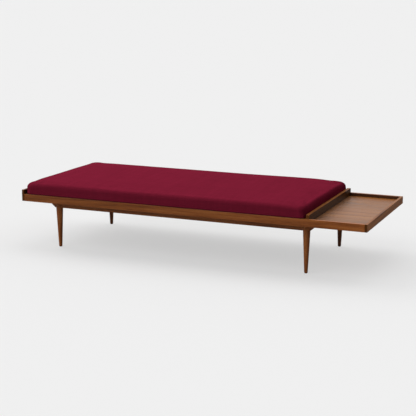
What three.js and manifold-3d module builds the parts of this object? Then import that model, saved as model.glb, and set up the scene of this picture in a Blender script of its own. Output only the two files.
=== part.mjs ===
// A low wooden daybed: a loose upholstered mattress on a slatted frame with tapered legs,
// and a fixed slatted tray that carries the frame on past the right-hand legs.
// Millimetres. +X runs along the bed to the tray, +Y to the back, +Z up. The origin is on the
// floor, at the middle of the whole outline.
import * as THREE from "three";
import { mergeVertices } from "three/addons/utils/BufferGeometryUtils.js";
import Module from "manifold-3d";

const wasm = await Module();
wasm.setup();

// ---- driving dimensions ----
const LENGTH = 2300; // over both end boards
const WIDTH = 888; // over both side rails
const FIT = 0.3; // gap between pieces that touch

const RAIL_BOTTOM = 303; // floor to the underside of the side rails
const RAIL_HEIGHT = 46.5;
const RAIL_THICK = 18;
const END_THICK = 16;
const LEFT_END_TOP = 377; // the left end board stands above the rails and holds the mattress

const DIVIDER_X = 783; // mattress side of the board between mattress and tray
const DIVIDER_THICK = 20;
const DIVIDER_TOP = 377;
const DIVIDER_CORNER = 6;

const LEG_X = [-923, 761]; // leg centres
const LEG_Y = 355;
const LEG_TOP_R = 21.8;
const LEG_FOOT_R = 10.4;
const FOOT_CHAMFER = 1.5;
const LEG_POST_FROM = 262; // from here up the leg is a straight post
const GLIDE_R = 8;
const GLIDE_HEIGHT = 3;

const UNDER_RAIL_BOTTOM = 262;
const UNDER_RAIL_THICK = 26;
const WING_FOOT = 24.5; // length of a wing's lower edge, past the leg centre
const WING_TOP = 74; // length of its upper edge
const STRETCHER_INSET = 30; // from a leg's centre to the stretcher inside it
const STRETCHER_THICK = 24;
const STRETCHER_RAISE = 4; // its underside is this much above the under-rails'

const BEAM_WIDTH = 38;
const CLEAT_WIDTH = 20;
const DECK_BOTTOM = 331.5; // underside of the slats
const SLAT_COUNT = 11;
const SLAT_WIDTH = 90;
const SLAT_MARGINS = [30, 20]; // from the left end board and the divider to the nearest slat

const TRAY_FLOOR = 329.5; // top of the tray's planks
const PLANK_THICK = 10;
const PLANK_COUNT = 9;
const PLANK_GAP = 2.4;
const BEARER_WIDTH = 32;
const BEARER_RAISE = 2; // its underside is this much above the rails'

const MATTRESS_LEFT = -1118;
const MATTRESS_RIGHT = 782;
const MATTRESS_BOTTOM = 350;
const MATTRESS_TOP = 424;
const PLAN_R = 35; // radius of the mattress corners seen from above
const TOP_EDGE_R = 28;
const BOTTOM_EDGE_R = 7;
const COVER_THICK = 3;
const PANEL_THICK = 2;
const PANEL_INSET = 5.3; // underside panel, in from the mattress's outline

const ZIP_Z = 371; // centre line of the zip on the back of the mattress
const ZIP_HALF = 800; // half of the zip's length
const ZIP_CHANNEL = [24, 6]; // height and depth of the recess the zip sits in
const TAPE_THICK = 1.4;
const SLIDER = [26, 3.6, 11]; // length, thickness, height
const SLIDER_START = 8; // from the end of the recess to the slider when the zip is closed

const BOLT_R = 4;
const BOLT_HEAD_R = 8;
const BOLT_HEAD_HEIGHT = 5;
const BOLT_TIP = 252;
const BORE_PLAY = 0.4;

// ---- values worked out from them ----
const RAIL_TOP = RAIL_BOTTOM + RAIL_HEIGHT;
const HALF_LENGTH = LENGTH / 2;
const HALF_WIDTH = WIDTH / 2;
const INNER_X = HALF_LENGTH - END_THICK; // inner faces of the end boards
const INNER_Y = HALF_WIDTH - RAIL_THICK; // inner faces of the side rails
const TRAY_LEFT = DIVIDER_X + DIVIDER_THICK;
const MATTRESS_MID = (MATTRESS_LEFT + MATTRESS_RIGHT) / 2;
const SIDES = { front: -1, rear: 1 };
const ENDS = { left: 0, right: 1 };

// ---- materials ----
const finish = (color, roughness, metalness = 0) =>
  new THREE.MeshStandardMaterial({ color, roughness, metalness });
const walnut = finish(0x6b4128, 0.5);
const innerWood = finish(0xa9825a, 0.7);
const fabric = finish(0x7a1e33, 0.95);
const lining = finish(0x2b2426, 0.95);
const foam = finish(0xe3d9b8, 0.95);
const zipTape = finish(0x4a1422, 0.9);
const metal = finish(0x77706a, 0.35, 0.9);
const steel = finish(0x9a9a9a, 0.35, 1);
const plastic = finish(0x2a211b, 0.6);

const group = new THREE.Group();

function add(name, geometry, material) {
  const mesh = new THREE.Mesh(geometry, material);
  mesh.name = name;
  group.add(mesh);
  return mesh;
}

// A box from its lowest to its highest corner.
function block([x0, y0, z0], [x1, y1, z1]) {
  const box = new THREE.BoxGeometry(x1 - x0, y1 - y0, z1 - z0);
  return box.translate((x0 + x1) / 2, (y0 + y1) / 2, (z0 + z1) / 2);
}

function upright(profile, x, y) {
  const points = profile.map(([r, z]) => new THREE.Vector2(r, z));
  return new THREE.LatheGeometry(points, 32).rotateX(Math.PI / 2).translate(x, y, 0);
}

const cylinder = (r, z0, z1, x, y) => upright([[0, z0], [r, z0], [r, z1], [0, z1]], x, y);

// ---- cutting with manifold-3d ----
function toSolid(geometry) {
  const bare = geometry.clone();
  bare.deleteAttribute("normal");
  bare.deleteAttribute("uv");
  const merged = mergeVertices(bare, 1e-4);
  const vertProperties = new Float32Array(merged.attributes.position.array);
  const triVerts = new Uint32Array(merged.index.array);
  return new wasm.Manifold(new wasm.Mesh({ numProp: 3, vertProperties, triVerts }));
}

function toGeometry(solid) {
  const mesh = solid.getMesh();
  const geometry = new THREE.BufferGeometry();
  geometry.setAttribute("position", new THREE.BufferAttribute(mesh.vertProperties, 3));
  geometry.setIndex(new THREE.BufferAttribute(mesh.triVerts, 1));
  geometry.computeVertexNormals();
  return geometry;
}

const cut = (geometry, ...tools) =>
  toGeometry(tools.reduce((left, tool) => left.subtract(toSolid(tool)), toSolid(geometry)));

// ---- upper frame ----
function sideRails() {
  for (const [side, s] of Object.entries(SIDES)) {
    const [y0, y1] = [s * INNER_Y, s * HALF_WIDTH].sort((a, b) => a - b);
    const rail = block(
      [-INNER_X + FIT, y0, RAIL_BOTTOM],
      [INNER_X - FIT, y1, RAIL_TOP]
    );
    add(`side_rail_${side}`, rail, walnut);
  }
}

function endBoards() {
  const left = block([-HALF_LENGTH, -HALF_WIDTH, RAIL_BOTTOM], [-INNER_X, HALF_WIDTH, LEFT_END_TOP]);
  const right = block([INNER_X, -HALF_WIDTH, RAIL_BOTTOM], [HALF_LENGTH, HALF_WIDTH, RAIL_TOP]);
  add("end_board_left", left, walnut);
  add("end_board_right", right, walnut);
}

// The divider drops between the side rails and rests an ear on top of each.
function divider() {
  const outline = new THREE.Shape();
  const neck = INNER_Y - FIT;
  const ear = RAIL_TOP + FIT;
  outline.moveTo(-neck, RAIL_BOTTOM);
  outline.lineTo(neck, RAIL_BOTTOM);
  outline.lineTo(neck, ear);
  outline.lineTo(HALF_WIDTH, ear);
  outline.lineTo(HALF_WIDTH, DIVIDER_TOP - DIVIDER_CORNER);
  outline.absarc(HALF_WIDTH - DIVIDER_CORNER, DIVIDER_TOP - DIVIDER_CORNER, DIVIDER_CORNER, 0, Math.PI / 2);
  outline.lineTo(-HALF_WIDTH + DIVIDER_CORNER, DIVIDER_TOP);
  outline.absarc(
    -HALF_WIDTH + DIVIDER_CORNER, DIVIDER_TOP - DIVIDER_CORNER, DIVIDER_CORNER, Math.PI / 2, Math.PI
  );
  outline.lineTo(-HALF_WIDTH, ear);
  outline.lineTo(-neck, ear);
  const board = new THREE.ExtrudeGeometry(outline, {
    depth: DIVIDER_THICK, bevelEnabled: false, curveSegments: 6,
  });
  board.rotateX(Math.PI / 2).rotateZ(Math.PI / 2).translate(DIVIDER_X, 0, 0);
  add("divider_board", board, walnut);
}

// ---- legs and under-frame ----
function leg(x, y) {
  const body = upright(
    [
      [0, GLIDE_HEIGHT],
      [LEG_FOOT_R - FOOT_CHAMFER, GLIDE_HEIGHT],
      [LEG_FOOT_R, GLIDE_HEIGHT + FOOT_CHAMFER],
      [LEG_TOP_R, LEG_POST_FROM],
      [LEG_TOP_R, RAIL_BOTTOM - FIT],
      [0, RAIL_BOTTOM - FIT],
    ],
    x, y
  );
  return cut(body, cylinder(BOLT_R + BORE_PLAY, BOLT_TIP - 2, RAIL_BOTTOM + 1, x, y));
}

function legBolt(x, y) {
  const headTop = DECK_BOTTOM - 1;
  const headBottom = headTop - BOLT_HEAD_HEIGHT;
  return upright(
    [
      [0, BOLT_TIP],
      [BOLT_R - 1, BOLT_TIP],
      [BOLT_R, BOLT_TIP + 1.5],
      [BOLT_R, headBottom],
      [BOLT_HEAD_R, headBottom],
      [BOLT_HEAD_R, headTop],
      [0, headTop],
    ],
    x, y
  );
}

function legs() {
  for (const [side, s] of Object.entries(SIDES)) {
    for (const [end, i] of Object.entries(ENDS)) {
      const [x, y] = [LEG_X[i], s * LEG_Y];
      add(`leg_${side}_${end}`, leg(x, y), walnut);
      add(`leg_bolt_${side}_${end}`, legBolt(x, y), steel);
      add(`foot_glide_${side}_${end}`, cylinder(GLIDE_R, 0, GLIDE_HEIGHT - FIT, x, y), plastic);
    }
  }
}

// An outline in X and Z, given depth along Y and centred on y.
function slab(points, thick, y) {
  const outline = new THREE.Shape(points.map(([x, z]) => new THREE.Vector2(x, z)));
  const solid = new THREE.ExtrudeGeometry(outline, { depth: thick, bevelEnabled: false });
  return solid.rotateX(Math.PI / 2).translate(0, y + thick / 2, 0);
}

// The under-rail runs from leg to leg; a wing with a sloping end carries it on past each leg.
// Their ends are coped to the round legs.
function underFrame() {
  const top = RAIL_BOTTOM - FIT;
  const [x0, x1] = LEG_X;
  for (const [side, s] of Object.entries(SIDES)) {
    const y = s * LEG_Y;
    const posts = LEG_X.map((x) =>
      cylinder(LEG_TOP_R + FIT, UNDER_RAIL_BOTTOM - 1, RAIL_BOTTOM + 1, x, y)
    );
    const low = UNDER_RAIL_BOTTOM;
    const rail = slab([[x0, low], [x1, low], [x1, top], [x0, top]], UNDER_RAIL_THICK, y);
    add(`under_rail_${side}`, cut(rail, ...posts), walnut);
    for (const [end, i] of Object.entries(ENDS)) {
      const out = i === 0 ? -1 : 1;
      const x = LEG_X[i];
      const corners = [
        [x, low], [x + out * WING_FOOT, low], [x + out * WING_TOP, top], [x, top],
      ];
      add(`wing_${side}_${end}`, cut(slab(corners, UNDER_RAIL_THICK, y), posts[i]), walnut);
    }
  }
  const reach = LEG_Y - UNDER_RAIL_THICK / 2 - FIT;
  for (const [end, i] of Object.entries(ENDS)) {
    const inward = i === 0 ? 1 : -1;
    const near = LEG_X[i] + inward * STRETCHER_INSET;
    const [a, b] = [near, near + inward * STRETCHER_THICK].sort((p, q) => p - q);
    const foot = UNDER_RAIL_BOTTOM + STRETCHER_RAISE;
    add(`stretcher_${end}`, block([a, -reach, foot], [b, reach, top]), innerWood);
  }
}

// ---- deck under the mattress ----
function cleats() {
  for (const [side, s] of Object.entries(SIDES)) {
    const inner = s * (INNER_Y - CLEAT_WIDTH);
    const outer = s * (INNER_Y - FIT);
    const [y0, y1] = [inner, outer].sort((a, b) => a - b);
    const cleat = block([-INNER_X + FIT, y0, RAIL_BOTTOM], [DIVIDER_X - FIT, y1, DECK_BOTTOM - FIT]);
    add(`slat_cleat_${side}`, cleat, innerWood);
  }
}

// The beams over the legs are bolted down into them; the two between carry the slats' middles.
function crossBeams() {
  const reach = INNER_Y - CLEAT_WIDTH - FIT;
  const [x0, x1] = LEG_X;
  const places = { left: x0, mid_left: x0 + (x1 - x0) / 3, mid_right: x1 - (x1 - x0) / 3, right: x1 };
  for (const [name, x] of Object.entries(places)) {
    const beam = block(
      [x - BEAM_WIDTH / 2, -reach, RAIL_BOTTOM],
      [x + BEAM_WIDTH / 2, reach, DECK_BOTTOM - FIT]
    );
    const overLegs = LEG_X.includes(x);
    add(`cross_beam_${name}`, overLegs ? cut(beam, ...boltHoles(x)) : beam, innerWood);
  }
}

function boltHoles(x) {
  const seat = DECK_BOTTOM - 1 - BOLT_HEAD_HEIGHT - FIT;
  return Object.values(SIDES).flatMap((s) => [
    cylinder(BOLT_R + BORE_PLAY, RAIL_BOTTOM - 1, DECK_BOTTOM, x, s * LEG_Y),
    cylinder(BOLT_HEAD_R + BORE_PLAY, seat, DECK_BOTTOM, x, s * LEG_Y),
  ]);
}

function slats() {
  const first = -INNER_X + SLAT_MARGINS[0] + SLAT_WIDTH / 2;
  const last = DIVIDER_X - SLAT_MARGINS[1] - SLAT_WIDTH / 2;
  const reach = INNER_Y - FIT;
  for (let i = 0; i < SLAT_COUNT; i++) {
    const x = first + ((last - first) * i) / (SLAT_COUNT - 1);
    const slat = block(
      [x - SLAT_WIDTH / 2, -reach, DECK_BOTTOM],
      [x + SLAT_WIDTH / 2, reach, RAIL_TOP]
    );
    add(`slat_${i + 1}`, slat, innerWood);
  }
}

// ---- tray ----
function tray() {
  const [x0, x1] = [TRAY_LEFT + FIT, INNER_X - FIT];
  const reach = INNER_Y - FIT;
  const pitch = (2 * reach + PLANK_GAP) / PLANK_COUNT;
  const under = TRAY_FLOOR - PLANK_THICK;
  for (let i = 0; i < PLANK_COUNT; i++) {
    const y = -reach + i * pitch;
    const plank = block([x0, y, under], [x1, y + pitch - PLANK_GAP, TRAY_FLOOR]);
    add(`tray_plank_${i + 1}`, plank, walnut);
  }
  const places = { inner: x0, mid: (x0 + x1 - BEARER_WIDTH) / 2, outer: x1 - BEARER_WIDTH };
  for (const [name, x] of Object.entries(places)) {
    const bearer = block([x, -reach, RAIL_BOTTOM + BEARER_RAISE], [x + BEARER_WIDTH, reach, under - FIT]);
    add(`tray_bearer_${name}`, bearer, walnut);
  }
}

// ---- mattress ----
function ring(halfX, halfY, r, z, steps) {
  const points = [];
  for (let corner = 0; corner < 4; corner++) {
    const cx = corner === 0 || corner === 3 ? halfX - r : r - halfX;
    const cy = corner < 2 ? halfY - r : r - halfY;
    for (let i = 0; i <= steps; i++) {
      const a = ((corner + i / steps) * Math.PI) / 2;
      points.push([MATTRESS_MID + cx + r * Math.cos(a), cy + r * Math.sin(a), z]);
    }
  }
  return points;
}

// Rings of the same number of points joined into a skin, with a flat cap at each end.
function loft(rings) {
  const n = rings[0].length;
  const position = rings.flat(2);
  const index = [];
  for (let k = 0; k + 1 < rings.length; k++) {
    for (let i = 0; i < n; i++) {
      const [a, b] = [k * n + i, k * n + ((i + 1) % n)];
      index.push(a, b, b + n, a, b + n, a + n);
    }
  }
  const top = (rings.length - 1) * n;
  for (let i = 1; i + 1 < n; i++) {
    index.push(0, i + 1, i, top, top + i, top + i + 1);
  }
  const geometry = new THREE.BufferGeometry();
  geometry.setAttribute("position", new THREE.Float32BufferAttribute(position, 3));
  geometry.setIndex(index);
  return geometry;
}

// A slab with round corners and round edges, `inside` smaller than the mattress all round.
function pad(inside, bottom, top) {
  const halfX = (MATTRESS_RIGHT - MATTRESS_LEFT) / 2 - inside;
  const halfY = HALF_WIDTH - inside;
  const upperR = TOP_EDGE_R - inside;
  const lowerR = Math.max(BOTTOM_EDGE_R - inside, 1);
  const profile = [];
  for (const t of [0, 0.5, 1]) {
    const a = (t * Math.PI) / 2;
    profile.push([lowerR * (1 - Math.sin(a)), bottom + lowerR * (1 - Math.cos(a))]);
  }
  for (const t of [0, 0.25, 0.5, 0.75, 1]) {
    const a = (t * Math.PI) / 2;
    profile.push([upperR * (1 - Math.cos(a)), top - upperR * (1 - Math.sin(a))]);
  }
  return loft(profile.map(([inset, z]) =>
    ring(halfX - inset, halfY - inset, Math.max(PLAN_R - inside - inset, 2), z, 6)
  ));
}

const inMattress = ([x0, y0, z0], [x1, y1, z1]) =>
  block([MATTRESS_MID + x0, y0, z0], [MATTRESS_MID + x1, y1, z1]);

const [CHANNEL_HEIGHT, CHANNEL_DEPTH] = ZIP_CHANNEL;
const CHANNEL_FLOOR = HALF_WIDTH - CHANNEL_DEPTH;

// The zip's recess in the back of the mattress, `wall` bigger all round.
function zipRecess(wall) {
  const half = CHANNEL_HEIGHT / 2 + wall;
  return inMattress(
    [-ZIP_HALF - wall, CHANNEL_FLOOR - wall, ZIP_Z - half],
    [ZIP_HALF + wall, HALF_WIDTH + 5, ZIP_Z + half]
  );
}

function mattressCover() {
  const outside = toSolid(pad(0, MATTRESS_BOTTOM, MATTRESS_TOP));
  const inside = toSolid(pad(COVER_THICK, MATTRESS_BOTTOM - 10, MATTRESS_TOP - COVER_THICK));
  const hollow = inside.subtract(toSolid(zipRecess(COVER_THICK)));
  const shell = outside.subtract(hollow).subtract(toSolid(zipRecess(0)));
  add("mattress_cover", toGeometry(shell), fabric);
}

function mattressFilling() {
  const inside = COVER_THICK + FIT;
  const panelTop = MATTRESS_BOTTOM + PANEL_THICK;
  const core = pad(inside, panelTop + 2 * FIT, MATTRESS_TOP - inside);
  add("foam_core", cut(core, zipRecess(inside)), foam);

  const halfX = (MATTRESS_RIGHT - MATTRESS_LEFT) / 2 - PANEL_INSET;
  const halfY = HALF_WIDTH - PANEL_INSET;
  const edges = [MATTRESS_BOTTOM + FIT, panelTop];
  const panel = loft(edges.map((z) => ring(halfX, halfY, PLAN_R - PANEL_INSET, z, 6)));
  add("mattress_underside", panel, lining);
}

function zip() {
  const tapeBack = CHANNEL_FLOOR + FIT;
  const tapeFace = tapeBack + TAPE_THICK;
  const half = CHANNEL_HEIGHT / 2 - 1;
  const tape = inMattress(
    [-ZIP_HALF + 2, tapeBack, ZIP_Z - half],
    [ZIP_HALF - 2, tapeFace, ZIP_Z + half]
  );
  add("zip_tape", tape, zipTape);
  const [length, thick, height] = SLIDER;
  const start = -ZIP_HALF + SLIDER_START;
  const slider = inMattress(
    [start, tapeFace + FIT, ZIP_Z - height / 2],
    [start + length, tapeFace + FIT + thick, ZIP_Z + height / 2]
  );
  add("zip_slider", slider, metal);
}

sideRails();
endBoards();
divider();
legs();
underFrame();
cleats();
crossBeams();
slats();
tray();
mattressCover();
mattressFilling();
zip();

export default group;
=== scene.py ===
"""The daybed's looks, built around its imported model.

The walnut boards are the CAD nodes with rounded edges and a grain that follows each board. The
legs, the mattress with its lining, and the zip are made here. Everything is in metres, with +X
towards the tray and +Z up. Colours are linear.
"""

import math
import zlib

import bpy
import numpy as np
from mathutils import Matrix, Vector, noise


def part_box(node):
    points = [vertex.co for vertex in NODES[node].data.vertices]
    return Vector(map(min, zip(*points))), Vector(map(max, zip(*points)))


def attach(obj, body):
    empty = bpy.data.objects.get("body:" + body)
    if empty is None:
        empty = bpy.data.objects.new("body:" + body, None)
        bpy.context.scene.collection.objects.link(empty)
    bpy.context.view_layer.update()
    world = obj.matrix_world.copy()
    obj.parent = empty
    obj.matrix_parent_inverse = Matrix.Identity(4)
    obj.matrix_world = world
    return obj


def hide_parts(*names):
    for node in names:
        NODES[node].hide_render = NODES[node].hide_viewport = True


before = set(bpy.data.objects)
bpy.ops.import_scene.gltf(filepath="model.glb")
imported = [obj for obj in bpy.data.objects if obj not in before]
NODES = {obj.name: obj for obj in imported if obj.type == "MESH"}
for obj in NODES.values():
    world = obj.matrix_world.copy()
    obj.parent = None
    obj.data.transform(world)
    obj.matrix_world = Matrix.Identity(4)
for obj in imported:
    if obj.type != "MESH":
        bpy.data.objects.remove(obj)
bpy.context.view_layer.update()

# ---- camera and light ----
CAMERA_AT = (2.666, -6.3475, 1.742)
CAMERA_TURN = math.radians(22.97)  # to the left of straight ahead
CAMERA_DIP = math.radians(12.12)
CAMERA_REACH = 400.0  # past the far end of the floor
LENS = 94.0  # in millimetres, like the sensor
SENSOR = 36.0
FLOOR_SIZE = 240.0
FLOOR_COLOUR = (0.33, 0.33, 0.33)
FLOOR_GLOW = 0.516
BOUNCE_COLOUR = (0.36, 0.36, 0.36)
BOUNCE_DROP = 0.002
# The room's light, and what the back and the left add. Each fade gives the y, x or z of a
# direction, as a unit vector, where the change begins and ends.
ROOM_LIGHT = 0.10
BACK_LIGHT = 0.57
BACK_FADE = (0.1, 0.6)
LEFT_LIGHT = 0.45
LEFT_FADE = (-0.2, -0.8)
BELOW_HORIZON = 0.25  # of the light above it
HORIZON_FADE = (-0.1, 0.1)
BACKDROP = 0.86  # what the camera sees past the end of the floor
# Soft lights: direction to the light, spread in degrees, strength
LIGHTS = {
    "left_key": ((-1.15, 0.40, 1.0), 44, 1.15),
    "top_key": ((0.05, 0.36, 1.0), 44, 0.62),
    "right_key": ((1.15, 0.40, 1.0), 44, 0.50),
    "front_fill": ((-0.45, -1.0, 1.05), 50, 0.92),
}

# ---- mattress shape ----
MATTRESS_LOW, MATTRESS_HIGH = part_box("mattress_cover")
MATTRESS_CENTRE = (MATTRESS_LOW + MATTRESS_HIGH) / 2
MATTRESS_HALF = (MATTRESS_HIGH - MATTRESS_LOW) / 2
PLAN_R = 0.042
TOP_PLAN_R = 0.024  # how much rounder the corners are at the top, seen from above
WALL_SHARE = 0.5  # of that extra radius, reached where the border meets the top's rounding
TOP_R = 0.026
BOTTOM_R = 0.009
FOOT_DROP = 0.0007  # the foot of the border lies this far below the CAD one, close on the slats
START_GROW = 0.0055  # the cloth draws its edges in, so it starts this much too long and wide
START_RISE = 0.0040
CORNER_CELLS = 5
SIDE_CELLS = (112, 50)
BOTTOM_CELLS = 4
BORDER_CELLS = 13
TOP_CELLS = 8

# ---- mattress wear ----
CORNER_DROP = 0.007  # at the right end
CORNER_REACH = 0.24
SKEW = 0.009  # how far the left end is out of square at its front and back
FRONT_CORNER_PULL = 0.007  # the top of the front left corner is sewn sharper than the others
FRONT_CORNER_DIP = 0.007
PULL_REACH = 0.10
DIP_REACH = (0.02, 0.20)
WEAR_MARGIN = 0.01  # no wear this close to the foot, and that corner's is full this close to the top
UNEVEN = 0.0016  # how far the used foam rises and falls
UNEVEN_SCALE = (2.6, 3.4, 3.0)
SEAM_DEPTH = 0.0012
SEAM_WIDTH = 0.0018
NEAR_WALL = 0.97  # share of the way from the middle to the wall, past which the seam is pressed

# ---- cloth ----
SIM_FRAMES = 20
PRESSURE = 4.0
CLOTH_EASE = 0.008  # the cover is this much larger than the foam, as a share of its size
HELD_RIM = 0.004  # the cloth is held up to this height above its lowest point
SWELL_CAP = 0.006

# ---- lining and zip ----
LINING_THICK = 0.0010
LINING_INSET = 0.020  # from the mattress's outline
LINING_DROP = 0.0004  # of its lower face, below the foot of the CAD cover
LINING_ROOM = 0.0012  # how far the underside rises over it
LINING_ROOM_FADE = (0.012, 0.024)  # distances from the outline over which the underside rises
ZIP_LOW, ZIP_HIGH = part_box("zip_tape")
SLIDER_LOW, SLIDER_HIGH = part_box("zip_slider")
ZIP_LIP = 0.003  # width of the slope round the zip's recess
ZIP_BED = 0.0006  # gap between the recess and the tape
BACK_DEPTH = 0.012  # the recess is pressed only into this much of the mattress's back
TAPE_STEPS = 260
TAPE_ROWS = 8
PUCKER = 0.0003
PUCKER_TURNS = 260.0  # radians of pucker to the metre
ZIP_END = 0.006  # bare tape at each end
TOOTH_PITCH = 0.0025
TOOTH = (0.0013, 0.0016, 0.0034)
TOOTH_SINK = 0.0003
TOOTH_STAGGER = 0.0008
TOOTH_EDGE = 0.0002
BODY_LENGTH = 0.011  # of the slider's body
PULLER_EDGE = 0.0004

# ---- colours ----
WALNUT = {
    "dark": (0.160, 0.041, 0.0065),
    "mid": (0.320, 0.091, 0.0155),
    "light": (0.420, 0.140, 0.0300),
}
BEECH = {
    "dark": (0.30, 0.165, 0.075),
    "mid": (0.42, 0.25, 0.125),
    "light": (0.52, 0.34, 0.19),
}
WINE = (0.187, 0.0124, 0.0312)
SHEEN_WINE = (0.60, 0.05, 0.13)
LINING_BLACK = (0.020, 0.017, 0.018)
TAPE_WINE = (0.050, 0.0060, 0.0135)
BRASS = (0.20, 0.14, 0.075)
WHITE = (1.0, 1.0, 1.0)


# ---- node helpers ----
NOISE_SPAN = (0.3, 0.7)  # most of a noise's values lie between these


def put(tree, socket, value):
    if isinstance(value, bpy.types.NodeSocket):
        tree.links.new(value, socket)
    else:
        socket.default_value = value


def node(tree, kind, inputs=None, **settings):
    made = tree.nodes.new("ShaderNode" + kind)
    for key, value in settings.items():
        setattr(made, key, value)
    for key, value in (inputs or {}).items():
        put(tree, made.inputs[key], value)
    return made


def maths(tree, operation, a, b=0.0):
    return node(tree, "Math", {0: a, 1: b}, operation=operation).outputs[0]


def weighted(tree, *parts):
    """The sum of (value, weight) pairs."""
    total = None
    for value, weight in parts:
        part = maths(tree, "MULTIPLY", value, weight)
        total = part if total is None else maths(tree, "ADD", total, part)
    return total


def mix(tree, factor, a, b, blend="MIX"):
    """Colours a and b mixed; a plain tuple is taken as a colour."""
    made = node(tree, "Mix", data_type="RGBA", blend_type=blend)
    for socket, value in zip((0, 6, 7), (factor, a, b)):
        if isinstance(value, tuple):
            value = (*value[:3], 1.0)
        put(tree, made.inputs[socket], value)
    return made.outputs[2]


def tinted(tree, colour, tone):
    """The colour times a grey tone."""
    grey = node(tree, "CombineXYZ", {0: tone, 1: tone, 2: tone}).outputs[0]
    return mix(tree, 1.0, colour, grey, "MULTIPLY")


def ramp(tree, value, low, high, to_low=0.0, to_high=1.0):
    inputs = {0: value, 1: low, 2: high, 3: to_low, 4: to_high}
    return node(tree, "MapRange", inputs, clamp=True).outputs[0]


def coordinate(tree, kind):
    return node(tree, "TexCoord").outputs[kind]


def axes_of(tree, vector):
    """The x, y and z of a vector."""
    return node(tree, "SeparateXYZ", {0: vector}).outputs


def noise_of(tree, vector, scale, detail=2.0, roughness=0.5, distortion=0.0):
    inputs = {
        "Vector": vector,
        "Scale": scale,
        "Detail": detail,
        "Roughness": roughness,
        "Distortion": distortion,
    }
    return node(tree, "TexNoise", inputs).outputs["Fac"]


def material(name, **surface):
    """A new material, its node tree and its Principled shader with these socket values."""
    made = bpy.data.materials.new(name)
    made.use_nodes = True
    tree = made.node_tree
    shader = tree.nodes["Principled BSDF"]
    for key, value in surface.items():
        shader.inputs[key.replace("_", " ")].default_value = value
    return made, tree, shader


def bump(tree, shader, height, distance, strength):
    made = node(tree, "Bump", {"Height": height, "Distance": distance, "Strength": strength})
    tree.links.new(made.outputs["Normal"], shader.inputs["Normal"])


# ---- wood ----
GRAIN_STRETCH = 0.05  # scale along the grain, where it is 1 across it
GRAIN_LEAN = 0.02  # the most that a board's grain leans, in radians
CUT_SPREAD = 30.0  # boards are cut from places up to this far apart in the figure
RING_NOISE = {"scale": 7.0, "detail": 1.0, "roughness": 0.4, "distortion": 0.5}
RING_TURNS = 62.0  # radians of ring for each unit of that noise
FIBRE_NOISE = {"scale": 420.0, "detail": 3.0, "roughness": 0.6}
STREAK_NOISE = {"scale": 60.0, "detail": 3.0, "roughness": 0.55}
BROAD_NOISE = {"scale": 11.0}
PORE_NOISE = {"scale": 1100.0}
PORE_SPAN = (0.34, 0.42)
PORE_DARK = 0.45
RING_WEIGHT = 0.18
FIBRE_WEIGHT = 0.28
STREAK_WEIGHT = 0.42
BROAD_WEIGHT = 0.12
DARK_TO_MID = (0.20, 0.5)
MID_TO_LIGHT = (0.5, 0.82)
EDGE_SPAN = (0.52, 0.60)  # pointiness of a flat face and of a worn edge
EDGE_PALER = 0.25
FIGURE_ROUGHNESS = (0.30, 0.42)  # of the darkest and the palest figure
UNPOLISHED = 0.14  # roughness added where there is no polish
# Tone of the sawn ends
END_GRAIN = {"end_board": 0.33, "divider_board": 0.66}
USUAL_END = 0.7
SAWN_SPAN = (0.7, 0.9)  # how squarely a face has to look along the grain to be a sawn end
# Boards whose inner face is darkened with painted shade: the axis and way that this face looks
SHADED_INNER_FACES = {"divider_board": (0, 1.0), "side_rail_rear": (1, -1.0), "end_board_left": (0, 1.0)}
INNER_SHADE_TONE = 0.20
INNER_SHADE_SPAN = (0.6, 0.9)
PLANK_PAINTED_SHADE = (0.60, 0.11)  # painted shade at the divider: its tone, and how far it fades into the tray
RAIL_PALER = (0.15, 1.05, 1.22)  # the front rail pales between these places, up to this tone
TRAY_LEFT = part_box("divider_board")[1].x
# Tints with painted light: shaded rear legs; lit front legs, front rail and under rail; divider and end
# boards bluer as painted reflection
BOARD_TINT_AND_PAINTED_LIGHT = {
    "tray_plank": (0.86, 1.02, 0.85),
    "leg_rear": (0.64, 0.64, 0.64),
    "leg_front": (1.12, 1.12, 1.10),
    "side_rail_front": (1.08, 1.08, 1.02),
    "under_rail": (1.18, 1.15, 1.10),
    "divider_board": (0.76, 0.92, 1.22),
    "end_board": (0.80, 0.92, 1.10),
}
TONE_SPREAD = {"tray_plank": 0.13}
USUAL_SPREAD = 0.06
# Axis that the grain runs along
WALNUT_ALONG = {
    "side_rail": 0,
    "under_rail": 0,
    "wing": 0,
    "tray_plank": 0,
    "end_board": 1,
    "divider_board": 1,
    "tray_bearer": 1,
}
INNER_ALONG = {"slat_cleat": 0, "cross_beam": 1, "stretcher": 1, "slat_": 1}
LOW_GLOSS = {"divider_board": 0.05, "end_board": 0.12}  # specular level, where there is little wax
EDGE_RADIUS = {
    "side_rail": 0.0016,
    "end_board": 0.0016,
    "divider_board": 0.0022,
    "tray_plank": 0.0020,
}
USUAL_EDGE = 0.0012
EDGE_ANGLE = math.radians(32)
WELD_WITHIN = 1e-5


def starts(name, table, otherwise=None):
    """The table's value for the key that the name starts with."""
    return next((value for key, value in table.items() if name.startswith(key)), otherwise)


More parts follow.
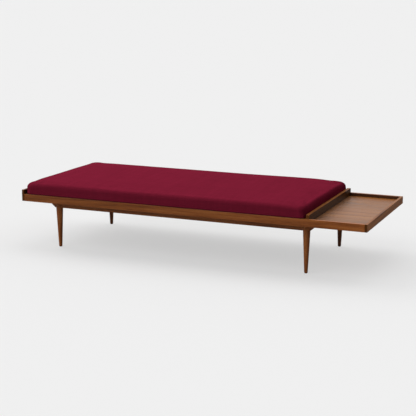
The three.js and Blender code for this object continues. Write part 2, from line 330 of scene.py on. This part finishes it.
def wood(name, palette, along, polish, board):
    """Timber with its grain along axis 0, 1 or 2. A board's name gives it its own cut of the figure."""
    made, tree, shader = material(
        name, Metallic=0.0, IOR=1.46, Coat_Weight=0.05 * polish, Coat_Roughness=0.25
    )
    random = np.random.default_rng(zlib.crc32(board.encode()))
    scale = [1.0, 1.0, 1.0]
    scale[along] = GRAIN_STRETCH
    lean = [0.0, 0.0, 0.0]
    lean[(along + 1) % 3] = float(random.uniform(-GRAIN_LEAN, GRAIN_LEAN))
    place = coordinate(tree, "Object")
    cut = {
        "Vector": place,
        "Location": tuple(float(v) for v in random.uniform(0, CUT_SPREAD, 3)),
        "Rotation": tuple(lean),
        "Scale": tuple(scale),
    }
    grain = node(tree, "Mapping", cut).outputs[0]

    turns = maths(tree, "MULTIPLY", noise_of(tree, grain, **RING_NOISE), RING_TURNS)
    rings = ramp(tree, maths(tree, "SINE", turns), -1.0, 1.0)
    fibres = ramp(tree, noise_of(tree, grain, **FIBRE_NOISE), *NOISE_SPAN)
    streaks = ramp(tree, noise_of(tree, grain, **STREAK_NOISE), *NOISE_SPAN)
    broad = ramp(tree, noise_of(tree, grain, **BROAD_NOISE), *NOISE_SPAN)
    wood_between = ramp(tree, noise_of(tree, grain, **PORE_NOISE), *PORE_SPAN)
    figure = weighted(
        tree,
        (rings, RING_WEIGHT),
        (fibres, FIBRE_WEIGHT),
        (streaks, STREAK_WEIGHT),
        (broad, BROAD_WEIGHT),
    )
    low = mix(tree, ramp(tree, figure, *DARK_TO_MID), palette["dark"], palette["mid"])
    colour = mix(tree, ramp(tree, figure, *MID_TO_LIGHT), low, palette["light"])
    pores = maths(tree, "SUBTRACT", 1.0, wood_between)
    colour = mix(tree, maths(tree, "MULTIPLY", pores, PORE_DARK), colour, palette["dark"])

    facing = axes_of(tree, coordinate(tree, "Normal"))
    sawn = ramp(tree, maths(tree, "ABSOLUTE", facing[along]), *SAWN_SPAN)
    end_tone = starts(board, END_GRAIN, USUAL_END)
    colour = tinted(tree, colour, ramp(tree, sawn, 0.0, 1.0, 1.0, end_tone))
    x = axes_of(tree, place)[0]
    # Painted shade on the board's inner face
    if board in SHADED_INNER_FACES:
        axis, way = SHADED_INNER_FACES[board]
        inner = maths(tree, "MULTIPLY", facing[axis], way)
        colour = tinted(tree, colour, ramp(tree, inner, *INNER_SHADE_SPAN, 1.0, INNER_SHADE_TONE))
    # Painted shade on the tray planks beside the divider
    if board.startswith("tray_plank"):
        darkest, reach = PLANK_PAINTED_SHADE
        shade = ramp(tree, x, TRAY_LEFT, TRAY_LEFT + reach, darkest, 1.0)
        colour = tinted(tree, colour, shade)
    if board == "side_rail_front":
        begin, end, palest = RAIL_PALER
        colour = tinted(tree, colour, ramp(tree, x, begin, end, 1.0, palest))
    spread = starts(board, TONE_SPREAD, USUAL_SPREAD)
    tone = float(random.uniform(1.0 - spread, 1.0 + spread))
    # The board's tint, partly painted light, shade and reflection
    tint = starts(board, BOARD_TINT_AND_PAINTED_LIGHT, WHITE)
    colour = mix(tree, 1.0, colour, tuple(tone * part for part in tint), "MULTIPLY")
    edge = ramp(tree, node(tree, "NewGeometry").outputs["Pointiness"], *EDGE_SPAN)
    colour = mix(tree, maths(tree, "MULTIPLY", edge, EDGE_PALER), colour, palette["light"])
    put(tree, shader.inputs["Base Color"], colour)

    rough = maths(tree, "ADD", fibres, maths(tree, "MULTIPLY", streaks, 0.5))
    rough = ramp(tree, rough, 0.0, 1.5, *FIGURE_ROUGHNESS)
    rough = maths(tree, "ADD", rough, UNPOLISHED * (1.0 - polish))
    put(tree, shader.inputs["Roughness"], rough)
    height = maths(tree, "ADD", maths(tree, "MULTIPLY", fibres, 0.5), wood_between)
    bump(tree, shader, height, distance=0.0003, strength=0.25)
    return made


def soften_edges(obj, radius, segments=3):
    """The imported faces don't share vertices, so they are welded before their edges are rounded."""
    weld = obj.modifiers.new("weld", "WELD")
    weld.merge_threshold = WELD_WITHIN
    bevel = obj.modifiers.new("edges", "BEVEL")
    bevel.width = radius
    bevel.segments = segments
    bevel.limit_method = "ANGLE"
    bevel.angle_limit = EDGE_ANGLE
    bevel.use_clamp_overlap = True
    normals = obj.modifiers.new("normals", "WEIGHTED_NORMAL")
    normals.keep_sharp = False


def dress(obj, surface):
    obj.data.materials.clear()
    obj.data.materials.append(surface)


def dress_boards():
    for name, obj in NODES.items():
        polished = starts(name, WALNUT_ALONG)
        plain = starts(name, INNER_ALONG)
        if polished is not None:
            surface = wood(name + "_walnut", WALNUT, polished, 1.0, name)
        elif plain is not None:
            surface = wood(name + "_beech", BEECH, plain, 0.0, name)
        else:
            continue
        dull = starts(name, LOW_GLOSS)
        if dull is not None:
            shader = surface.node_tree.nodes["Principled BSDF"]
            shader.inputs["Specular IOR Level"].default_value = dull
        dress(obj, surface)
        soften_edges(obj, starts(name, EDGE_RADIUS, USUAL_EDGE))


# ---- mesh helpers ----
def mesh_object(name, vertices, faces, surface, smooth=True):
    mesh = bpy.data.meshes.new(name)
    mesh.from_pydata([tuple(map(float, v)) for v in vertices], [], faces)
    mesh.validate()
    obj = bpy.data.objects.new(name, mesh)
    bpy.context.scene.collection.objects.link(obj)
    mesh.materials.append(surface)
    if smooth:
        mesh.shade_smooth()
    else:
        mesh.shade_flat()
    return obj


def turned(profile, x, y, sides=64):
    """Vertices and faces of a lathe turning of (radius, height) points, closed at both ends."""
    vertices = [(x, y, profile[0][1])]
    for radius, height in profile:
        for i in range(sides):
            a = 2 * math.pi * i / sides
            vertices.append((x + radius * math.cos(a), y + radius * math.sin(a), height))
    vertices.append((x, y, profile[-1][1]))
    faces = [(0, 1 + (i + 1) % sides, 1 + i) for i in range(sides)]
    for k in range(len(profile) - 1):
        low, high = 1 + k * sides, 1 + (k + 1) * sides
        for i in range(sides):
            j = (i + 1) % sides
            faces.append((low + i, low + j, high + j, high + i))
    last, top = len(vertices) - 1, 1 + (len(profile) - 1) * sides
    faces += [(last, top + i, top + (i + 1) % sides) for i in range(sides)]
    return vertices, faces


def arc(centre_r, centre_z, radius, start, end, steps=5):
    """(radius, height) points round an arc between two angles in degrees, for a lathe profile."""
    turns = [math.radians(start + (end - start) * i / steps) for i in range(steps + 1)]
    return [(centre_r + radius * math.cos(a), centre_z + radius * math.sin(a)) for a in turns]


def plate(outline, low, high, across):
    """Vertices and faces of a flat plate. The outline is counter-clockwise in the two other axes."""
    n = len(outline)

    def at(point, level):
        made = list(point)
        made.insert(across, level)
        return tuple(made)

    vertices = [at(point, low) for point in outline] + [at(point, high) for point in outline]
    faces = [tuple(range(n)), tuple(range(2 * n - 1, n - 1, -1))]
    faces += [(i, i + n, (i + 1) % n + n, (i + 1) % n) for i in range(n)]
    if across == 2:
        faces = [face[::-1] for face in faces]
    return vertices, faces


def quads_between(low, high):
    n = len(low)
    return [(low[i], low[(i + 1) % n], high[(i + 1) % n], high[i]) for i in range(n)]


# ---- legs ----
FOOT_R = 0.0108
FOOT_ROUND = 0.0022
POST_FROM = 0.262  # height where the taper ends and the straight post begins
POST_EDGE = 0.0008
LEG_SWELL = 0.0006  # how much larger the post's radius is than the CAD one's
LEG_STEPS = 12


def build_legs():
    for side in ("front", "rear"):
        for end in ("left", "right"):
            name = f"leg_{side}_{end}"
            low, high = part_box(name)
            x, y = (low.x + high.x) / 2, (low.y + high.y) / 2
            top_r = (high.x - low.x) / 2 + LEG_SWELL
            rise = POST_FROM - low.z - FOOT_ROUND
            profile = arc(FOOT_R - FOOT_ROUND, low.z + FOOT_ROUND, FOOT_ROUND, -90, 0)
            for i in range(1, LEG_STEPS + 1):
                t = i / LEG_STEPS
                profile.append((FOOT_R + (top_r - FOOT_R) * t, low.z + FOOT_ROUND + rise * t))
            profile.append((top_r, high.z - POST_EDGE))
            profile.append((top_r - POST_EDGE, high.z))
            surface = wood(name + "_walnut", WALNUT, 2, 1.0, name)
            leg = mesh_object("turned_" + name, *turned(profile, x, y), surface)
            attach(leg, "frame")
            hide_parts(name)


# ---- fabric ----
THREAD = 0.0022
YARN_STRETCH = 24.0
YARN_NOISE = {"scale": 20.0, "detail": 3.0, "roughness": 0.65}
SLUB_STRETCH = 22.0
SLUB_NOISE = {"scale": 3.6, "detail": 2.0, "roughness": 0.55}
CROSSED_SPAN = (0.7, 1.3)
CLOUD_NOISE = {"scale": 3.2, "detail": 3.0}
NAP_NOISE = {"scale": 900.0}
YARN_WEIGHT = 0.25
SLUB_WEIGHT = 0.35
KNOT_WEIGHT = 0.18
CLOUD_WEIGHT = 0.14
NAP_WEIGHT = 0.08
PAINTED_LIGHT_FADE = (1.03, 0.93)  # painted light: tone of the mattress at its left and right end
FOOT_PAINTED_SHADE = (0.55, 0.009)  # painted shade at the very foot of the mattress: its tone, and the height it fades out over
RIGHT_END_SHADE_TONE = 0.50  # painted shade on the right end, beside the divider: its tone
RIGHT_END_SHADE_SPAN = (0.12, 0.65)  # how squarely a face has to look right to get that painted shade


def weave_height(tree, place, pitch):
    """A plain weave on whichever two axes the surface faces least."""
    waves = []
    for axis in axes_of(tree, place):
        waves.append(maths(tree, "SINE", maths(tree, "MULTIPLY", axis, math.pi / pitch)))
    normal = axes_of(tree, coordinate(tree, "Normal"))
    total = 0.5
    for i, (j, k) in enumerate(((1, 2), (0, 2), (0, 1))):
        facing = maths(tree, "POWER", maths(tree, "ABSOLUTE", normal[i]), 2.0)
        knots = maths(tree, "MULTIPLY", waves[j], waves[k])
        half_knots = maths(tree, "MULTIPLY", maths(tree, "MULTIPLY", knots, facing), 0.5)
        total = maths(tree, "ADD", total, half_knots)
    return total


def crossed(tree, place, stretch, noise_settings):
    """Streaks along the warp and along the weft, added together."""
    streaks = []
    for scale in ((1.0, stretch, stretch), (stretch, 1.0, 1.0)):
        drawn_out = node(tree, "Mapping", {"Vector": place, "Scale": scale}).outputs[0]
        streaks.append(noise_of(tree, drawn_out, **noise_settings))
    return ramp(tree, maths(tree, "ADD", *streaks), *CROSSED_SPAN)


def wool(name, colour, pitch=THREAD, shade=0.22, painted_light=False):
    """Plain-woven wool: uneven yarns both ways, a soft nap and a slight change of tone.

    The mattress's wool has painted light: paler to the left, painted shade at its foot and right end.
    """
    made, tree, shader = material(
        name,
        Roughness=0.92,
        Specular_IOR_Level=0.0,
        Sheen_Weight=0.05,
        Sheen_Roughness=0.45,
        Sheen_Tint=(*SHEEN_WINE, 1.0),
    )
    place = coordinate(tree, "Object")
    knots = weave_height(tree, place, pitch)
    yarns = crossed(tree, place, YARN_STRETCH, YARN_NOISE)
    slubs = crossed(tree, place, SLUB_STRETCH, SLUB_NOISE)
    clouds = ramp(tree, noise_of(tree, place, **CLOUD_NOISE), *NOISE_SPAN)
    nap = noise_of(tree, place, **NAP_NOISE)
    tone = weighted(
        tree,
        (yarns, YARN_WEIGHT),
        (slubs, SLUB_WEIGHT),
        (knots, KNOT_WEIGHT),
        (clouds, CLOUD_WEIGHT),
        (nap, NAP_WEIGHT),
    )
    dark = tuple(c * (1.0 - shade) for c in colour)
    light = tuple(c * (1.0 + shade) for c in colour)
    woven = mix(tree, tone, dark, light)
    # Painted light and shade on the mattress's wool
    if painted_light:
        x, _, z = axes_of(tree, place)
        # Painted light: paler to the left, where the light comes from
        woven = tinted(tree, woven, ramp(tree, x, MATTRESS_LOW.x, MATTRESS_HIGH.x, *PAINTED_LIGHT_FADE))
        # Painted shade along the foot, over the rail
        foot, rise = FOOT_PAINTED_SHADE
        foot_shade = ramp(tree, z, MATTRESS_LOW.z, MATTRESS_LOW.z + rise, foot, 1.0)
        woven = tinted(tree, woven, foot_shade)
        # Painted shade on the right end, beside the divider
        to_right = axes_of(tree, coordinate(tree, "Normal"))[0]
        woven = tinted(tree, woven, ramp(tree, to_right, *RIGHT_END_SHADE_SPAN, 1.0, RIGHT_END_SHADE_TONE))
    put(tree, shader.inputs["Base Color"], woven)
    height = maths(tree, "ADD", knots, maths(tree, "MULTIPLY", yarns, 0.6))
    height = maths(tree, "ADD", height, maths(tree, "MULTIPLY", nap, 0.3))
    bump(tree, shader, height, distance=0.0004, strength=0.55)
    return made


# ---- mattress ----
def outline_places(half, corner):
    """Grid lines across a rounded rectangle: corner cells, side cells, corner cells."""
    made = []
    for h, cells in zip(half, SIDE_CELLS):
        low = np.linspace(-h, -h + corner, CORNER_CELLS + 1)
        side = np.linspace(-h + corner, h - corner, cells + 1)[1:]
        high = np.linspace(h - corner, h, CORNER_CELLS + 1)[1:]
        made.append(np.concatenate([low, side, high]))
    return made


def to_disc(u, v, half, corner):
    """A point of the square-cornered grid moved to where the rounded corner has it."""
    a = (abs(u) - (half[0] - corner)) / corner
    b = (abs(v) - (half[1] - corner)) / corner
    if a <= 0 or b <= 0:
        return u, v
    x = half[0] - corner + corner * a * math.sqrt(1 - b * b / 2)
    y = half[1] - corner + corner * b * math.sqrt(1 - a * a / 2)
    return math.copysign(x, u), math.copysign(y, v)


def sheet_of(half, corner, z):
    """A whole grid of points on a rounded rectangle at height z, as a list of columns."""
    us, vs = outline_places(half, corner)
    return [[(*to_disc(u, v, half, corner), z) for v in vs] for u in us]


def rim_of(columns):
    """The points round the edge of a grid, counter-clockwise from above."""
    last, top = len(columns) - 1, len(columns[0]) - 1
    walk = [(i, 0) for i in range(last)] + [(last, j) for j in range(top)]
    walk += [(i, top) for i in range(last, 0, -1)] + [(0, j) for j in range(top, 0, -1)]
    return walk


def edge_profile(low, high):
    """(inset, extra corner radius, height) from the underside's edge to the top's."""
    made = []
    for i in range(BOTTOM_CELLS + 1):
        a = math.pi / 2 * i / BOTTOM_CELLS
        made.append((BOTTOM_R * (1 - math.sin(a)), 0.0, low + BOTTOM_R * (1 - math.cos(a))))
    wall_low, wall_high = low + BOTTOM_R, high - TOP_R
    for i in range(1, BORDER_CELLS):
        t = i / BORDER_CELLS
        made.append((0.0, TOP_PLAN_R * t * t * WALL_SHARE, wall_low + (wall_high - wall_low) * t))
    for i in range(TOP_CELLS + 1):
        a = math.pi / 2 * i / TOP_CELLS
        extra = TOP_PLAN_R * (WALL_SHARE + (1 - WALL_SHARE) * math.sin(a))
        made.append((TOP_R * (1 - math.cos(a)), extra, high - TOP_R * (1 - math.sin(a))))
    return made


def mattress_mesh(surface):
    profile = edge_profile(MATTRESS_LOW.z - FOOT_DROP, MATTRESS_HIGH.z + START_RISE)
    vertices, faces = [], []

    def rounded(inset, extra):
        inset -= START_GROW
        return (MATTRESS_HALF.x - inset, MATTRESS_HALF.y - inset), PLAN_R - inset + extra

    def add_cap(inset, extra, z, flip):
        columns = sheet_of(*rounded(inset, extra), z)
        first = len(vertices)
        rows = len(columns[0])
        for column in columns:
            vertices.extend(column)
        for i in range(len(columns) - 1):
            for j in range(rows - 1):
                a = first + i * rows + j
                quad = (a, a + rows, a + rows + 1, a + 1)
                faces.append(quad[::-1] if flip else quad)
        return [first + i * rows + j for i, j in rim_of(columns)]

    below = add_cap(*profile[0], True)
    for inset, extra, z in profile[1:-1]:
        columns = sheet_of(*rounded(inset, extra), z)
        ring = []
        for i, j in rim_of(columns):
            ring.append(len(vertices))
            vertices.append(columns[i][j])
        faces.extend(quads_between(below, ring))
        below = ring
    faces.extend(quads_between(below, add_cap(*profile[-1], False)))
    placed = [(x + MATTRESS_CENTRE.x, y + MATTRESS_CENTRE.y, z) for x, y, z in vertices]
    return mesh_object("mattress", placed, faces, surface)


def coords(obj):
    flat = np.zeros(len(obj.data.vertices) * 3, np.float32)
    obj.data.vertices.foreach_get("co", flat)
    return flat.reshape(-1, 3).astype(float)


def set_coords(obj, points):
    obj.data.vertices.foreach_set("co", points.astype(np.float32).ravel())
    obj.data.update()


def apply_modifiers(obj):
    graph = bpy.context.evaluated_depsgraph_get()
    mesh = bpy.data.meshes.new_from_object(obj.evaluated_get(graph))
    obj.modifiers.clear()
    obj.data = mesh


def inflate(obj):
    """The cover swells a little under cloth pressure; its underside stays flat on the slats."""
    rest = coords(obj)
    floor = rest[:, 2].min()
    held = obj.vertex_groups.new(name="held")
    held.add([int(i) for i in np.flatnonzero(rest[:, 2] < floor + HELD_RIM)], 1.0, "REPLACE")
    cloth = obj.modifiers.new("cloth", "CLOTH")
    settings = cloth.settings
    settings.vertex_group_mass = "held"
    settings.use_pressure = True
    settings.uniform_pressure_force = PRESSURE
    settings.effector_weights.gravity = 0.0
    settings.shrink_min = settings.shrink_max = -CLOTH_EASE
    settings.quality = 5
    settings.tension_stiffness = settings.compression_stiffness = 30.0
    settings.shear_stiffness = 15.0
    settings.bending_stiffness = 1.0
    cloth.collision_settings.use_collision = False
    scene = bpy.context.scene
    for step in range(1, SIM_FRAMES + 1):
        scene.frame_set(step)
    apply_modifiers(obj)
    scene.frame_set(1)
    move = coords(obj) - rest
    length = np.linalg.norm(move, axis=1)
    share = np.minimum(1.0, SWELL_CAP * np.tanh(length / SWELL_CAP) / np.maximum(length, 1e-9))
    set_coords(obj, rest + move * share[:, None])
    obj.vertex_groups.clear()


def smoothstep(x, low, high):
    t = np.clip((x - low) / (high - low), 0.0, 1.0)
    return t * t * (3 - 2 * t)


def soften(obj):
    """The wear of the foam: fallen right corners, a skewed left end, a sharp corner, uneven height."""
    points = coords(obj)
    low, high = MATTRESS_LOW, MATTRESS_HIGH
    centre, half = MATTRESS_CENTRE, MATTRESS_HALF

    along = smoothstep(points[:, 0] - centre.x, half.x - CORNER_REACH, half.x)
    across = smoothstep(np.abs(points[:, 1] - centre.y), half.y - CORNER_REACH, half.y)
    height = smoothstep(points[:, 2], low.z, high.z)
    points[:, 2] -= CORNER_DROP * (along * across) * height

    left = smoothstep(centre.x - points[:, 0], 0.0, half.x)
    points[:, 0] += SKEW * left * (points[:, 1] - centre.y) / half.y

    from_corner = np.hypot(points[:, 0] - low.x, points[:, 1] - low.y)
    height = smoothstep(points[:, 2], low.z + WEAR_MARGIN, high.z - WEAR_MARGIN)
    pull = FRONT_CORNER_PULL * (1.0 - smoothstep(from_corner, 0.0, PULL_REACH)) * height
    points[:, 2] -= FRONT_CORNER_DIP * (1.0 - smoothstep(from_corner, *DIP_REACH)) * height
    points[:, 0] -= pull
    points[:, 1] -= 0.5 * pull

    height = smoothstep(points[:, 2], low.z + WEAR_MARGIN, high.z)
    wave = np.array([noise.noise(Vector(point)) for point in points * UNEVEN_SCALE])
    points[:, 2] += UNEVEN * wave * height
    set_coords(obj, points)


def sink_zip(obj):
    """The recess in the back of the mattress that the zip lies in."""
    points = coords(obj)
    x, y, z = points.T
    inside = smoothstep(x, ZIP_LOW.x - ZIP_LIP, ZIP_LOW.x)
    inside = inside * smoothstep(-x, -ZIP_HIGH.x - ZIP_LIP, -ZIP_HIGH.x)
    inside = inside * smoothstep(z, ZIP_LOW.z - ZIP_LIP, ZIP_LOW.z)
    inside = inside * smoothstep(-z, -ZIP_HIGH.z - ZIP_LIP, -ZIP_HIGH.z)
    inside = np.where(y > MATTRESS_HIGH.y - BACK_DEPTH, inside, 0.0)
    points[:, 1] = y + (ZIP_LOW.y - ZIP_BED - y) * inside
    set_coords(obj, points)


def press_seams(obj):
    """A sewn seam runs round the foot of the border."""
    points = coords(obj)
    groove = np.exp(-(((points[:, 2] - MATTRESS_LOW.z - BOTTOM_R) / SEAM_WIDTH) ** 2))
    out = points[:, :2] - np.array(MATTRESS_CENTRE.xy)
    near_wall = np.abs(out / np.array(MATTRESS_HALF.xy)).max(axis=1) > NEAR_WALL
    direction = out / np.maximum(np.linalg.norm(out, axis=1), 1e-9)[:, None]
    points[:, :2] -= direction * (SEAM_DEPTH * groove * near_wall)[:, None]
    set_coords(obj, points)


def make_room_for_lining(obj):
    """Inside its rim the underside rises to make room for the lining."""
    points = coords(obj)
    inside = np.array(MATTRESS_HALF.xy) - np.abs(points[:, :2] - np.array(MATTRESS_CENTRE.xy))
    below = points[:, 2] < MATTRESS_LOW.z
    points[:, 2] += LINING_ROOM * smoothstep(inside.min(axis=1), *LINING_ROOM_FADE) * below
    set_coords(obj, points)


def build_mattress():
    mattress = mattress_mesh(wool("wine_wool", WINE, painted_light=True))
    inflate(mattress)
    soften(mattress)
    sink_zip(mattress)
    press_seams(mattress)
    make_room_for_lining(mattress)
    finer = mattress.modifiers.new("finer", "SUBSURF")
    finer.levels = finer.render_levels = 1
    apply_modifiers(mattress)
    mattress.data.shade_smooth()
    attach(mattress, "mattress")
    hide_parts("mattress_cover", "foam_core")


def build_lining():
    """The thin cloth sewn into the cover's underside."""
    half = (MATTRESS_HALF.x - LINING_INSET, MATTRESS_HALF.y - LINING_INSET)
    columns = sheet_of(half, PLAN_R - LINING_INSET, 0.0)
    outline = []
    for i, j in rim_of(columns):
        x, y, _ = columns[i][j]
        outline.append((x + MATTRESS_CENTRE.x, y + MATTRESS_CENTRE.y))
    bottom = MATTRESS_LOW.z - LINING_DROP
    shape = plate(outline, bottom, bottom + LINING_THICK, 2)
    weave = wool("lining_weave", LINING_BLACK, pitch=0.0012, shade=0.2)
    lining = mesh_object("mattress_lining", *shape, weave, smooth=False)
    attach(lining, "mattress")
    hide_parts("mattress_underside")


# ---- zip ----
def boxes(name, places, size, surface):
    """One mesh of many small blocks, each at its place."""
    corners = [(sx, sy, sz) for sx in (-1, 1) for sy in (-1, 1) for sz in (-1, 1)]
    quads = [(0, 1, 3, 2), (4, 6, 7, 5), (0, 4, 5, 1), (2, 3, 7, 6), (0, 2, 6, 4), (1, 5, 7, 3)]
    vertices, faces = [], []
    for place in places:
        first = len(vertices)
        for corner in corners:
            vertices.append(tuple(p + s * c / 2 for p, s, c in zip(place, size, corner)))
        faces += [tuple(first + i for i in quad) for quad in quads]
    return mesh_object(name, vertices, faces, surface, smooth=False)


def build_tape():
    """The zip's woven tape. Its edges pucker a little where they are sewn down."""
    middle, half = (ZIP_LOW.z + ZIP_HIGH.z) / 2, (ZIP_HIGH.z - ZIP_LOW.z) / 2
    vertices, faces = [], []
    for i in range(TAPE_STEPS + 1):
        x = ZIP_LOW.x + (ZIP_HIGH.x - ZIP_LOW.x) * i / TAPE_STEPS
        face = []
        for j in range(TAPE_ROWS + 1):
            t = 2 * j / TAPE_ROWS - 1
            pucker = PUCKER * t * t * math.sin(x * PUCKER_TURNS)
            face.append((x, ZIP_HIGH.y - PUCKER + pucker, middle + half * t))
        vertices += face + [(x, ZIP_LOW.y, z) for _, _, z in reversed(face)]
    ring = 2 * TAPE_ROWS + 2
    for i in range(TAPE_STEPS):
        a, b = i * ring, (i + 1) * ring
        faces += [(a + k, a + (k + 1) % ring, b + (k + 1) % ring, b + k) for k in range(ring)]
    faces += [tuple(range(ring))[::-1], tuple(TAPE_STEPS * ring + k for k in range(ring))]
    weave = wool("zip_tape_weave", TAPE_WINE, pitch=0.0008, shade=0.15)
    tape = mesh_object("zip_tape_woven", vertices, faces, weave)
    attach(tape, "mattress")
    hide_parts("zip_tape")


def rounded_outline(low, high, corner, steps=5):
    """A counter-clockwise rounded rectangle from one corner point to the other."""
    made = []
    spots = [(high[0] - corner, low[1] + corner, -90), (high[0] - corner, high[1] - corner, 0)]
    spots += [(low[0] + corner, high[1] - corner, 90), (low[0] + corner, low[1] + corner, 180)]
    for x, z, start in spots:
        for i in range(steps + 1):
            a = math.radians(start + 90 * i / steps)
            made.append((x + corner * math.cos(a), z + corner * math.sin(a)))
    return made


def build_puller(brass):
    """The zip's slider: a flat body, a bridge over it and a pull tab that hangs along the tape."""
    low, high = SLIDER_LOW, SLIDER_HIGH
    middle, half = (low.z + high.z) / 2, (high.z - low.z) / 2
    deep = high.y - low.y
    body_end = low.x + BODY_LENGTH
    # each part's start and end along the zip, half width, corner radius, and the shares of the
    # slider's depth that its back and front lie at
    body = (low.x, body_end, half, 0.0035, 0.0, 0.6)
    bridge = (low.x + 0.003, body_end - 0.001, 0.0018, 0.0015, 0.55, 1.0)
    tab = (body_end - 0.004, high.x, 0.0034, 0.0030, 0.66, 0.92)
    vertices, faces = [], []
    for start, end, wide, corner, back, front in (body, bridge, tab):
        outline = rounded_outline((start, middle - wide), (end, middle + wide), corner)
        more, sides = plate(outline, low.y + back * deep, low.y + front * deep, 1)
        faces += [tuple(k + len(vertices) for k in face) for face in sides]
        vertices += more
    puller = mesh_object("zip_puller", vertices, faces, brass, smooth=False)
    soften_edges(puller, PULLER_EDGE, 2)
    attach(puller, "zip_slider")
    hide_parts("zip_slider")


def build_zip():
    build_tape()
    y = ZIP_HIGH.y + TOOTH[1] / 2 - TOOTH_SINK
    z = (ZIP_LOW.z + ZIP_HIGH.z) / 2
    count = int((ZIP_HIGH.x - ZIP_LOW.x - 2 * ZIP_END) / TOOTH_PITCH)
    places = []
    for i in range(count):
        stagger = TOOTH_STAGGER if i % 2 else -TOOTH_STAGGER
        places.append((ZIP_LOW.x + ZIP_END + i * TOOTH_PITCH, y, z + stagger))
    brass, _, _ = material("zip_brass", Base_Color=(*BRASS, 1.0), Metallic=1.0, Roughness=0.38)
    teeth = boxes("zip_teeth", places, TOOTH, brass)
    soften_edges(teeth, TOOTH_EDGE, 1)
    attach(teeth, "mattress")
    build_puller(brass)


# ---- small parts ----
# Material, colour, metalness, noise settings, least and most roughness
SMALL_PARTS = {
    "leg_bolt": ("bolt_steel", (0.42, 0.42, 0.43), 1.0, {"scale": 300.0, "detail": 3.0}, (0.25, 0.45)),
    "foot_glide": ("glide_plastic", (0.022, 0.016, 0.012), 0.0, {"scale": 500.0}, (0.45, 0.65)),
}
SMALL_EDGE = 0.0006


def dress_small_parts():
    for start, (name, colour, metal, settings, rough) in SMALL_PARTS.items():
        surface, tree, shader = material(name, Base_Color=(*colour, 1.0), Metallic=metal)
        mottle = noise_of(tree, coordinate(tree, "Object"), **settings)
        put(tree, shader.inputs["Roughness"], ramp(tree, mottle, *NOISE_SPAN, *rough))
        for part, obj in NODES.items():
            if part.startswith(start):
                dress(obj, surface)
                soften_edges(obj, SMALL_EDGE, 2)


# ---- stage ----
def build_floors():
    """A glowing floor for the camera, and a plain grey one just under it that lights the bed.

    The glow itself lights nothing, or it would lighten the shade under the bed.
    """
    half = FLOOR_SIZE / 2
    corners = [(-half, -half), (half, -half), (half, half), (-half, half)]
    glowing, _, _ = material(
        "studio_floor",
        Roughness=1.0,
        Base_Color=(*FLOOR_COLOUR, 1.0),
        Specular_IOR_Level=0.0,
        Emission_Color=(*WHITE, 1.0),
        Emission_Strength=FLOOR_GLOW,
    )
    floor = mesh_object("floor", [(x, y, 0) for x, y in corners], [(0, 1, 2, 3)], glowing)
    floor.visible_diffuse = floor.visible_glossy = floor.visible_shadow = False

    plain, _, _ = material("bounce_grey", Roughness=1.0, Base_Color=(*BOUNCE_COLOUR, 1.0))
    lower = [(x, y, -BOUNCE_DROP) for x, y in corners]
    bounce = mesh_object("bounce_floor", lower, [(0, 1, 2, 3)], plain)
    bounce.visible_camera = bounce.visible_glossy = False


def build_room():
    world = bpy.data.worlds.new("studio")
    bpy.context.scene.world = world
    world.use_nodes = True
    tree = world.node_tree
    x, y, z = axes_of(tree, coordinate(tree, "Generated"))
    back = ramp(tree, y, *BACK_FADE, 0.0, BACK_LIGHT)
    left = ramp(tree, x, *LEFT_FADE, 0.0, LEFT_LIGHT)
    light = maths(tree, "ADD", maths(tree, "ADD", back, left), ROOM_LIGHT)
    light = maths(tree, "MULTIPLY", light, ramp(tree, z, *HORIZON_FADE, BELOW_HORIZON, 1.0))
    seen = node(tree, "LightPath").outputs["Is Camera Ray"]
    light = maths(tree, "MAXIMUM", light, maths(tree, "MULTIPLY", seen, BACKDROP))
    put(tree, tree.nodes["Background"].inputs["Color"], (*WHITE, 1.0))
    put(tree, tree.nodes["Background"].inputs["Strength"], light)


def build_lights():
    for name, (towards, spread, strength) in LIGHTS.items():
        sun = bpy.data.lights.new(name, "SUN")
        sun.energy = strength
        sun.angle = math.radians(spread)
        lamp = bpy.data.objects.new(name, sun)
        bpy.context.scene.collection.objects.link(lamp)
        lamp.rotation_mode = "QUATERNION"
        lamp.rotation_quaternion = Vector(towards).to_track_quat("Z", "Y")


def build_camera():
    data = bpy.data.cameras.new("camera")
    data.lens = LENS
    data.sensor_width = SENSOR
    data.clip_end = CAMERA_REACH
    camera = bpy.data.objects.new("camera", data)
    bpy.context.scene.collection.objects.link(camera)
    camera.location = CAMERA_AT
    camera.rotation_euler = (math.pi / 2 - CAMERA_DIP, 0.0, CAMERA_TURN)
    bpy.context.scene.camera = camera


bpy.context.scene.view_settings.view_transform = "Standard"
build_camera()
build_floors()
build_room()
build_lights()
dress_boards()
build_legs()
build_mattress()
build_lining()
build_zip()
dress_small_parts()
